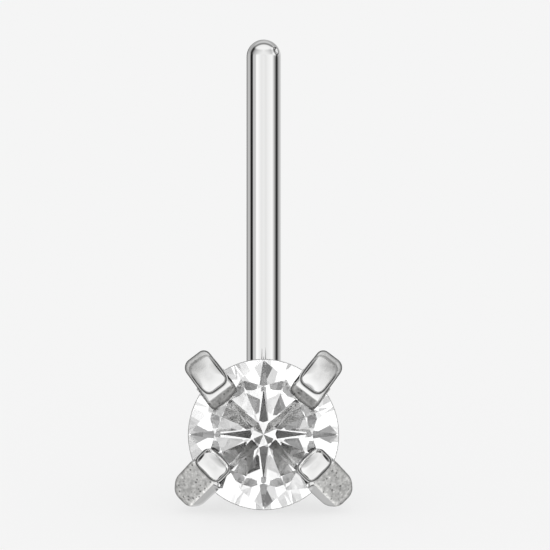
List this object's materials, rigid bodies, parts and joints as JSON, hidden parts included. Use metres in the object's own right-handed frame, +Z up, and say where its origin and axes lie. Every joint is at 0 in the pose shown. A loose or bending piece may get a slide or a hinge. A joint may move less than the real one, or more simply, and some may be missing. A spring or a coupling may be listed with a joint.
{
  "type": "nose ring stud",
  "caption": "Claw-set nose stud: a round brilliant-cut stone in an open claw head on an L-shaped post that stands with its leg up.",
  "frame": {"origin": "under the middle of the stud's box, on the surface that the lower claws and the bend of the post stand on", "axes": "+Z up, +Y from the stone towards the leg of the post, +X to the right of a viewer who faces the stone"},
  "size_m": [0.0042, 0.0106, 0.0093],
  "materials": {
    "white_metal": "polished",
    "clear_stone": "polished"
  },
  "bodies": {
    "root": {"claw_setting_with_post": "white_metal", "round_stone": "clear_stone"}
  },
  "joints": []
}
